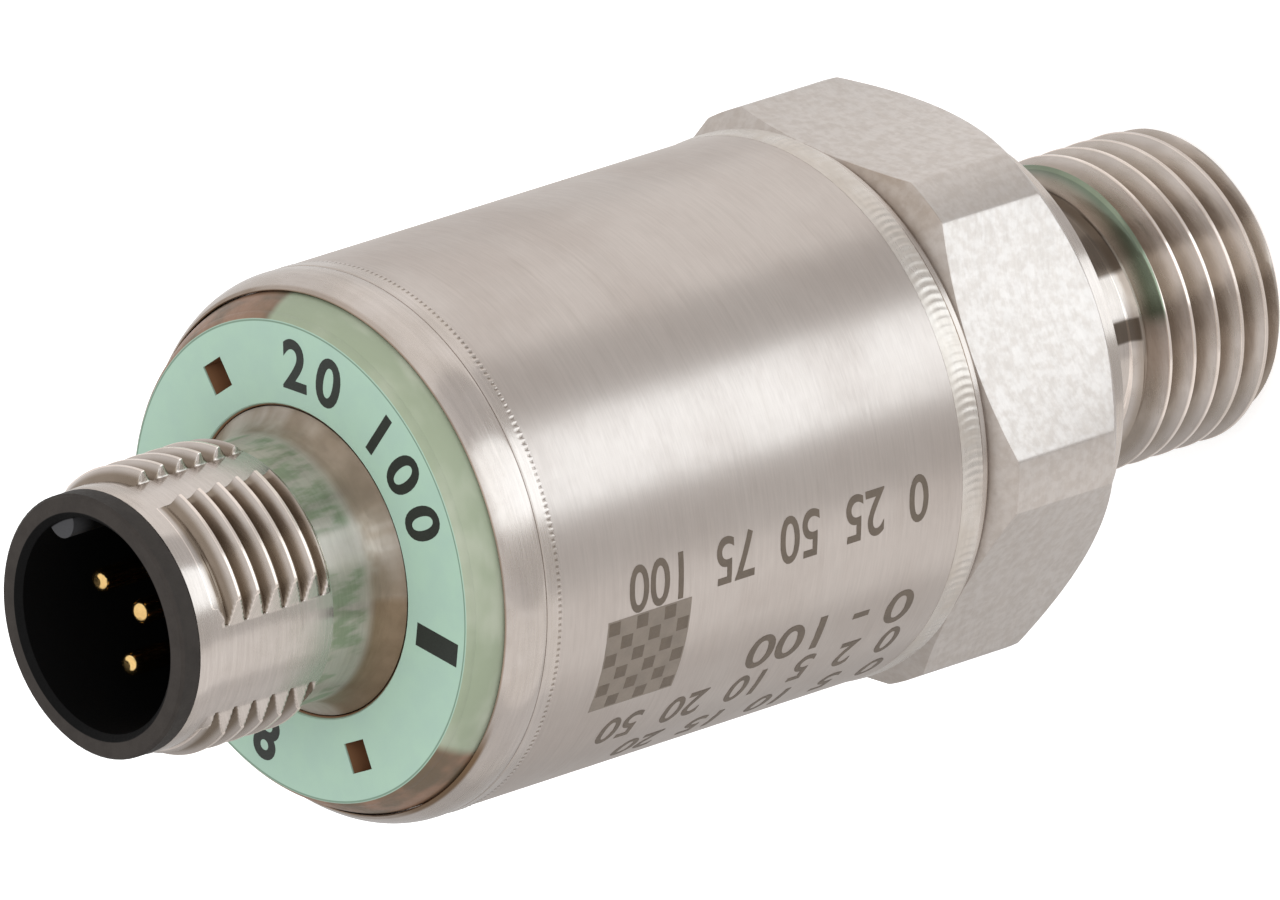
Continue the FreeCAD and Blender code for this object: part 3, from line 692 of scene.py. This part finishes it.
def makeUpperWeld():
    low, high = sleeveTop - 0.18, jointHeight
    count = weld["teethCount"]
    inner = sleeveRadius - sleeveWall
    outline = [(inner, sleeveTop), (sleeveRadius - 0.05, sleeveTop), (sleeveRadius - 0.03, low)]
    steps = 10
    for i in range(steps + 1):
        outline.append((sleeveRadius, low + (high - 0.05 - low) * i / steps))
    outline += [(sleeveRadius - 0.03, high), (inner, high)]

    def toothed(radius, height, angle):
        if radius < sleeveRadius - 0.04:
            return radius, height
        t = (height - low) / (high - low)
        tooth = (0.5 + 0.5 * math.cos(math.radians(angle) * count)) ** 0.7
        strength = 0.6 + 0.4 * math.sin(math.radians(angle * 3 + 20))
        down = weld["toothDrop"] * (1 - tooth) * (1 - eased(t, 0, 0.3))
        swell = weld["toothSwell"] * tooth * strength * (1 - eased(t, 0.1, 0.42)) + 0.012
        return radius + swell * (radius >= sleeveRadius), height + down

    mesh = turnedMesh("upperWeldBand", outline, evenAngles(count * 6), toothed, 40)
    placed("upperWeldBand", mesh, toothSteel, ["upper_weld"])


makeLowerWeld()
makeUpperWeld()
print("sleeve and welds made")


# end cap with its threaded stub
cap = {
    "lipBulge": 0.22, "lipWall": 0.05, "ringSeat": 34.3,
    "rootRadius": 5.5, "crestRadius": 6.0, "grooveRadius": 5.42, "pitch": 1.0,
    "threadCrest": 0.06, "threadRoot": 0.06, "rimBottom": 45.6, "threadTop": 44.75,
    "threadBottom": 39.85, "crestHeight": 44.5, "crestAngle": 20.0,
    "flareRadius": 6.36, "flareTop": 37.9, "flareBulge": 0.26, "boreRadius": 4.95,
    "plateHeight": 31.6, "skirtBore": 8.4,
    "flatDistance": 5.12, "flatAngles": (142.0, 322.0), "flatHalf": 21.5,   # no thread on two flats
    "slotAngles": (52.0, 232.0), "slotHalf": 10.0}                          # and none in two slots


def capShape(radius, height, angle, isThread):
    if not isThread:
        return radius, height, 0
    c = cap
    depth = threadDepth(c, height, angle)
    out = c["crestRadius"] - (c["crestRadius"] - c["grooveRadius"]) * depth
    plain = c["crestRadius"]
    for flatAngle in c["flatAngles"]:
        away = (angle - flatAngle + 180) % 360 - 180
        if abs(away) < 60:
            plain = min(plain, max(c["flatDistance"] / math.cos(math.radians(away)), c["rootRadius"]))
            if abs(away) < c["flatHalf"]:
                out = c["rootRadius"]
    out = min(out, plain)
    for slotAngle in c["slotAngles"]:
        away = abs((angle - slotAngle + 180) % 360 - 180)
        inSlot = 1 - eased(away, c["slotHalf"] - 0.6, c["slotHalf"] + 0.6)
        out += (c["rootRadius"] - out) * inSlot
        plain += (c["rootRadius"] - plain) * inSlot
    lead = c["rootRadius"] + max(c["threadTop"] + 0.45 - height, 0)
    tail = c["rootRadius"] + max(height - c["threadBottom"] + 0.45, 0)
    shadeDepth = grooveValueAt(depth) * eased(plain - out, 0, 0.1)   # the plain flats and slots get no painted groove shade
    shadeDepth = max(shadeDepth, crestGrooveValue * eased(plain, c["crestRadius"] - 0.1, c["crestRadius"] - 0.02))
    return min(out, lead, tail), height, shadeDepth


def makeCap():
    c = cap
    skirt = sleeveRadius - sleeveWall
    top = capTop
    below = [(c["boreRadius"], top), (c["boreRadius"], c["plateHeight"]), (c["skirtBore"], c["plateHeight"]),
             (c["skirtBore"], capBottom), (skirt, capBottom), (skirt, jointHeight),
             (sleeveRadius - 0.06, jointHeight), (sleeveRadius - 0.03, jointHeight + 0.02),
             (sleeveRadius, jointHeight + 0.07)]
    below += bowed((sleeveRadius, jointHeight + 0.07), (lipRadius, lipHeight), -c["lipBulge"], 12)
    below += [(lipRadius, lipHeight), (lipRadius - 0.04, lipHeight - 0.02),
              (lipRadius - c["lipWall"], c["ringSeat"] + 0.02), (c["flareRadius"] + 0.03, c["ringSeat"]),
              (c["flareRadius"], c["ringSeat"] + 0.03), (c["flareRadius"], ringTop - 0.1)]
    below += bowed((c["flareRadius"], ringTop - 0.1), (c["rootRadius"], c["flareTop"]), c["flareBulge"], 12)
    below += [(c["rootRadius"], c["flareTop"])]
    above = [(c["rootRadius"], c["rimBottom"]), (c["rootRadius"] - 0.02, top - 0.15),
             (c["rootRadius"] - 0.06, top - 0.05), (c["rootRadius"] - 0.15, top)]
    thread = dict(c, bottom=c["threadBottom"] - 0.5, top=c["threadTop"] + 0.5)
    slotEdges = [a + s * (c["slotHalf"] + d) for a in c["slotAngles"] for s in (1, -1)
                 for d in (-0.6, -0.3, 0, 0.3, 0.6)]
    angles = evenAngles(432, slotEdges)
    mesh = threadedMesh("capBody", below, thread, above, angles, capShape, 30)
    placed("capBody", mesh, capSteel, ["end_cap"])

    def polished(height, out):  # the neck and its flare
        return c["ringSeat"] < height < c["threadBottom"] - 0.5 and c["boreRadius"] + 0.1 < out < 7

    addSecondMaterial(mesh, polishedSteel, polished)


makeCap()
print("end cap made")


ringSide = {"shoulder": (9.955, 36.28), "foot": (10.74, 34.92), "bulge": 0.1, "bottom": 34.36, "inner": 9.7}


def makeRingSide():
    # the flared side of the ring, which fills the cap's lip
    c = ringSide
    outline = [c["shoulder"]] + bowed(c["shoulder"], c["foot"], c["bulge"])
    outline += [c["foot"], (c["foot"][0] + 0.01, c["foot"][1] - 0.05), (c["foot"][0] + 0.01, c["bottom"]),
                (c["inner"], c["bottom"]), (c["inner"], c["shoulder"][1] - 0.06)]
    placed("ringSide", turnedMesh("ringSide", outline, evenAngles(288)), ringPlastic)


makeRingSide()
dressed("range_ring", ringPlastic)
dressed("connector_insert", insertPlastic)
print("ring and insert finished")


def glyphs(name, text, size, bold=0.03, thickness=0.004):
    # flat letters in millimetres, their middle at the origin
    curve = bpy.data.curves.new(name, "FONT")
    curve.body = text
    curve.size = size
    curve.align_x = "CENTER"
    curve.align_y = "CENTER"
    curve.extrude = thickness
    curve.offset = bold
    curve.resolution_u = 6
    holder = bpy.data.objects.new(name, curve)
    bpy.context.scene.collection.objects.link(holder)
    bpy.context.view_layer.update()
    mesh = bpy.data.meshes.new_from_object(holder.evaluated_get(bpy.context.evaluated_depsgraph_get()))
    bpy.data.objects.remove(holder)
    work = bmesh.new()
    work.from_mesh(mesh)
    levels = math.ceil(size / 0.2)
    for i in range(-levels, levels + 1):  # cut fine enough to follow the sleeve's curve
        bmesh.ops.bisect_plane(work, geom=work.verts[:] + work.edges[:] + work.faces[:],
                               plane_co=(0, i * 0.2, 0), plane_no=(0, 1, 0))
    work.to_mesh(mesh)
    work.free()
    return mesh


ringMarks = {"size": 2.9, "bold": 0.075, "radius": 8.15, "lift": 0.002,
             "digits": (("2", 64.5), ("0", 50.5), ("1", 27.5), ("0", 14.0), ("0", -0.5), ("8", -131.0)),
             "barAngles": (-35.8, -35.3), "barRadii": (7.12, 9.55), "barWidth": 1.0}


def makeRingMarks():
    m = ringMarks
    for i, (digit, angle) in enumerate(m["digits"]):
        mesh = glyphs("ringNumber", digit, m["size"], m["bold"])
        c, s = heading(angle)
        outward, along = Vector((c, s, 0)), Vector((s, -c, 0))   # read clockwise, seen from the plug
        for v in mesh.vertices:
            spot = outward * (m["radius"] + v.co.y) + along * v.co.x
            v.co = (spot.x * millimetre, spot.y * millimetre, (ringTop + m["lift"] + v.co.z) * millimetre)
        placed("ringNumber%d" % (i + 1), mesh, printInk)
    (a, b), (inner, outer) = m["barAngles"], m["barRadii"]
    start = Vector((*heading(a), 0)) * inner + Vector((0, 0, ringTop))
    end = Vector((*heading(b), 0)) * outer + Vector((0, 0, ringTop))
    side = Vector((start.y - end.y, end.x - start.x, 0)).normalized() * m["barWidth"] / 2
    corners = [start - side, end - side, end + side, start + side]
    vertices = [p + Vector((0, 0, m["lift"] + h)) for h in (-0.004, 0.004) for p in corners]
    faces = [(3, 2, 1, 0), (4, 5, 6, 7)] + [(i, (i + 1) % 4, (i + 1) % 4 + 4, i + 4) for i in range(4)]
    placed("ringBar", finishedMesh("ringBar", vertices, faces), printInk)


def wrapped(mesh, low, high, angle, lift=0.003):
    # lays flat letters on the sleeve from low to high: they read up the axis, tops turned clockwise
    start = min(v.co.x for v in mesh.vertices)
    scale = (high - low) / (max(v.co.x for v in mesh.vertices) - start)
    for v in mesh.vertices:
        c, s = heading(angle - math.degrees(v.co.y / sleeveRadius))
        out = (sleeveRadius + lift + v.co.z) * millimetre
        v.co = (out * c, out * s, (low + (v.co.x - start) * scale) * millimetre)


sleeveMarks = {  # text, from and to along the axis, angle and size
    "rows": (("0  25  50  75  100", 12.6, 28.8, -26.5, 2.85), ("0 - 100", 12.4, 21.4, -52.5, 2.5),
             ("0  2  5  10  20  50", 12.2, 28.4, -63.5, 2.4), ("0  5  10  15  20", 11.6, 26.0, -76.0, 2.2)),
    "square": (25.4, 29.9, -54.5, -32.5), "cells": 6, "cellSize": 0.8}


def addPatch(vertices, faces, low, high, first, last, lift):
    # a thin curved plate on the sleeve, in steps that follow its curve
    steps = max(1, round((last - first) / 1.5))
    start = len(vertices)
    for i in range(steps + 1):
        c, s = heading(first + (last - first) * i / steps)
        for out in (sleeveRadius - 0.002, sleeveRadius + lift):
            vertices += [(out * c, out * s, height) for height in (low, high)]
    for i in range(steps):
        a, b = start + 4 * i, start + 4 * i + 4
        faces += [(a + 2, b + 2, b + 3, a + 3), (a + 1, b + 1, b, a), (a, b, b + 2, a + 2),
                  (a + 3, b + 3, b + 1, a + 1)]
    end = start + 4 * steps
    faces += [(start, start + 2, start + 3, start + 1), (end, end + 1, end + 3, end + 2)]


def makeSleeveMarks():
    m = sleeveMarks
    for i, (text, low, high, angle, size) in enumerate(m["rows"]):
        mesh = glyphs("sleeveRow", text, size)
        wrapped(mesh, low, high, angle)
        placed("sleeveRow%d" % (i + 1), mesh, etchedMark)
    low, high, first, last = m["square"]
    tall, wide = (high - low) / m["cells"], (last - first) / m["cells"]
    vertices, faces = [], []
    addPatch(vertices, faces, low, high, first, last, 0.003)
    placed("sleeveSquare", finishedMesh("sleeveSquare", vertices, faces), paleMark)
    vertices, faces = [], []
    for i in range(m["cells"]):
        for j in range(i % 2, m["cells"], 2):
            height, angle = low + (i + 0.5) * tall, first + (j + 0.5) * wide
            h, a = tall * m["cellSize"] / 2, wide * m["cellSize"] / 2
            addPatch(vertices, faces, height - h, height + h, angle - a, angle + a, 0.007)
    placed("sleeveCells", finishedMesh("sleeveCells", vertices, faces), etchedMark)


makeRingMarks()
makeSleeveMarks()
print("marks made")


innerMaterials = {
    "rubber": plainPlastic("black rubber", (0.02, 0.02, 0.02), (0.6, 0.75), 8.0),
    "board": plainPlastic("green board", (0.02, 0.13, 0.05), (0.3, 0.45), 2.0),
    "ribbon": plainPlastic("amber ribbon", (0.45, 0.18, 0.03), (0.25, 0.35), 2.0),
    "natural": plainPlastic("natural carrier plastic", (0.68, 0.66, 0.58), (0.45, 0.6), 3.0),
    "chip": plainPlastic("chip epoxy", (0.02, 0.02, 0.022), (0.5, 0.65), 12.0),
    "tantalum": plainPlastic("tantalum orange", (0.62, 0.27, 0.03), (0.4, 0.5), 6.0),
    "ceramic": plainPlastic("fired ceramic", (0.42, 0.30, 0.18), (0.5, 0.6), 10.0),
    "film": plainPlastic("bridge film", (0.20, 0.11, 0.05), (0.2, 0.3), 10.0)}
innerNodes = {
    goldContact: ["contact_pin_%d" % n for n in range(1, 6)] + ["bond_wires", "board_link_pins"],
    turnedSteel: ["measuring_cell", "insert_circlip", "ground_spring", "quartz_crystal"],
    innerMaterials["rubber"]: ["insert_oring"],
    innerMaterials["board"]: ["cell_board", "main_board", "plug_board"],
    innerMaterials["ribbon"]: ["flex_lead"],
    innerMaterials["natural"]: ["board_carrier"],
    innerMaterials["chip"]: ["signal_converter", "microcontroller", "output_driver", "voltage_regulator",
                             "board_link"],
    innerMaterials["tantalum"]: ["tantalum_capacitors"],
    innerMaterials["ceramic"]: ["ceramic_capacitors", "chip_resistors"],
    innerMaterials["film"]: ["bridge_film"]}
for material, names in innerNodes.items():
    for name in names:
        dressed(name, material)
print("inner pieces finished")


studio = {"floorSize": 4.0, "floorColour": (0.86, 0.86, 0.86), "shadowLift": 0.55, "ambient": 0.55}


def seenAsBackground(tree):
    # 1 for camera, glossy and transmission rays, 0 for the light that falls on things
    path = addNode(tree, "ShaderNodeLightPath").outputs
    seen = calc(tree, "ADD", path["Is Camera Ray"], path["Is Glossy Ray"])
    return calc(tree, "MINIMUM", calc(tree, "ADD", seen, path["Is Transmission Ray"]), 1.0)


def makeFloor():
    half = studio["floorSize"] / 2
    level = connectionBottom * millimetre
    mesh = bpy.data.meshes.new("floor")
    mesh.from_pydata([(-half, -half, level), (half, -half, level), (half, half, level), (-half, half, level)],
                     [], [(0, 1, 2, 3)])
    floor = bpy.data.objects.new("floor", mesh)
    bpy.context.scene.collection.objects.link(floor)
    made, tree, shader = newMaterial("pale floor", Roughness=0.9)
    shader.inputs["Specular IOR Level"].default_value = 0.0
    shader.inputs["Base Color"].default_value = (*studio["floorColour"], 1)
    lift = product(tree, seenAsBackground(tree), studio["shadowLift"])
    glow = addNode(tree, "ShaderNodeEmission", {"Color": (1, 1, 1, 1), "Strength": lift})
    both = addNode(tree, "ShaderNodeAddShader", {0: shader.outputs[0], 1: glow.outputs[0]})
    tree.links.new(both.outputs[0], tree.nodes["Material Output"].inputs["Surface"])
    mesh.materials.append(made)


def makeWorld():
    world = bpy.data.worlds.new("studio")
    bpy.context.scene.world = world
    world.use_nodes = True
    tree = world.node_tree
    level = atLeast(tree, seenAsBackground(tree), studio["ambient"])
    background = tree.nodes["Background"]
    background.inputs["Color"].default_value = (1, 1, 1, 1)
    tree.links.new(level, background.inputs["Strength"])


lamps = {  # azimuth and elevation in degrees, distance and size in metres, radiance
    "topSheet": (20, 84, 0.90, 0.90, 0.90, 2.1),
    "frontSheet": (12, 30, 0.80, 0.50, 0.50, 1.9)}


def makeLamps():
    centre = Vector((0, 0, (connectionBottom + insertTop) / 2 * millimetre))
    for name, (azimuth, elevation, distance, width, height, radiance) in lamps.items():
        light = bpy.data.lights.new(name, "AREA")
        light.shape = "RECTANGLE"
        light.size, light.size_y = width, height
        light.energy = radiance * math.pi * width * height
        lamp = bpy.data.objects.new(name, light)
        (c, s), (level, up) = heading(azimuth), heading(elevation)
        away = Vector((c * level, s * level, up))
        lamp.location = centre + away * distance
        lamp.rotation_mode = "QUATERNION"
        lamp.rotation_quaternion = away.to_track_quat("Z", "Y")
        lamp.visible_glossy = False   # the cards below are what the steel mirrors
        bpy.context.scene.collection.objects.link(lamp)


# cards that only reflections see, from one azimuth to another, with their tone; each lies on the
# floor from cardNear outwards and stands up at cardFar
cards = {"stripCard": (-14, 21, 1.95, (0.93, 1.0, 1.05)), "greyRight": (20, 50, 0.70, (1, 1, 1)),
         "brightRight": (50, 105, 1.10, (1, 1, 1)), "paleRight": (105, 165, 0.92, (1, 1, 1)),
         "greyLeft": (-42, -13, 0.72, (1, 1, 1)), "brightLeft": (-80, -42, 1.05, (1, 1, 1)),
         "dullLeft": (-115, -80, 0.76, (1, 1, 1)), "dimLeft": (-175, -115, 0.60, (1, 1, 1))}
cardNear, cardFar, cardHeight, footShadeTone = 10.0, 420.0, 380.0, 0.75


def addCard(name, points, tone, colour=(1, 1, 1)):
    card = bpy.data.objects.new(name, finishedMesh(name, points, [tuple(range(len(points)))]))
    bpy.context.scene.collection.objects.link(card)
    made, tree, shader = newMaterial(name)
    glow = addNode(tree, "ShaderNodeEmission", {"Color": (*colour, 1), "Strength": tone})
    tree.links.new(glow.outputs[0], tree.nodes["Material Output"].inputs["Surface"])
    card.data.materials.append(made)
    card.visible_camera = card.visible_shadow = card.visible_diffuse = False


def makeCards():
    level = connectionBottom + 0.3

    def spot(radius, azimuth, height):
        c, s = heading(azimuth)
        return radius * c, radius * s, height

    for name, (first, last, tone, colour) in cards.items():
        addCard(name + "Floor", [spot(cardNear, first, level), spot(cardFar, first, level),
                                 spot(cardFar, last, level), spot(cardNear, last, level)], tone, colour)
        addCard(name + "Wall", [spot(cardFar, first, level), spot(cardFar, first, cardHeight),
                                spot(cardFar, last, cardHeight), spot(cardFar, last, level)], tone, colour)
    # painted shade: a dimmer disc under the stud stands in for the floor's shade in reflections
    addCard("footShadeCard", [spot(cardNear, a, level - 0.1) for a in range(0, 360, 15)], footShadeTone)


viewpoint = {"elevation": 38.38, "roll": -107.76, "distance": 1287.2, "lens": 906.66,
             "axisHeight": ringTop - 0.1, "aimRight": 13.547, "aimUp": 4.419}


def makeCamera():
    v = viewpoint
    elevation, roll = math.radians(v["elevation"]), math.radians(v["roll"])
    back = Vector((math.cos(elevation), 0, math.sin(elevation)))
    level, rising = Vector((0, 1, 0)), Vector((-math.sin(elevation), 0, math.cos(elevation)))
    right = level * math.cos(roll) + rising * math.sin(roll)
    up = rising * math.cos(roll) - level * math.sin(roll)
    origin = Vector((0, 0, v["axisHeight"]))
    place = origin + back * v["distance"]
    aim = origin + right * v["aimRight"] + up * v["aimUp"]
    back = (place - aim).normalized()
    right = up.cross(back).normalized()
    up = back.cross(right)
    data = bpy.data.cameras.new("camera")
    data.lens = v["lens"]
    data.clip_start, data.clip_end = 0.05, 20
    camera = bpy.data.objects.new("camera", data)
    camera.matrix_world = Matrix((
        (right.x, up.x, back.x, place.x * millimetre), (right.y, up.y, back.y, place.y * millimetre),
        (right.z, up.z, back.z, place.z * millimetre), (0, 0, 0, 1)))
    bpy.context.scene.collection.objects.link(camera)
    bpy.context.scene.camera = camera


makeFloor()
makeWorld()
makeLamps()
makeCards()
makeCamera()
bpy.context.scene.view_settings.view_transform = "Standard"
print("studio set")
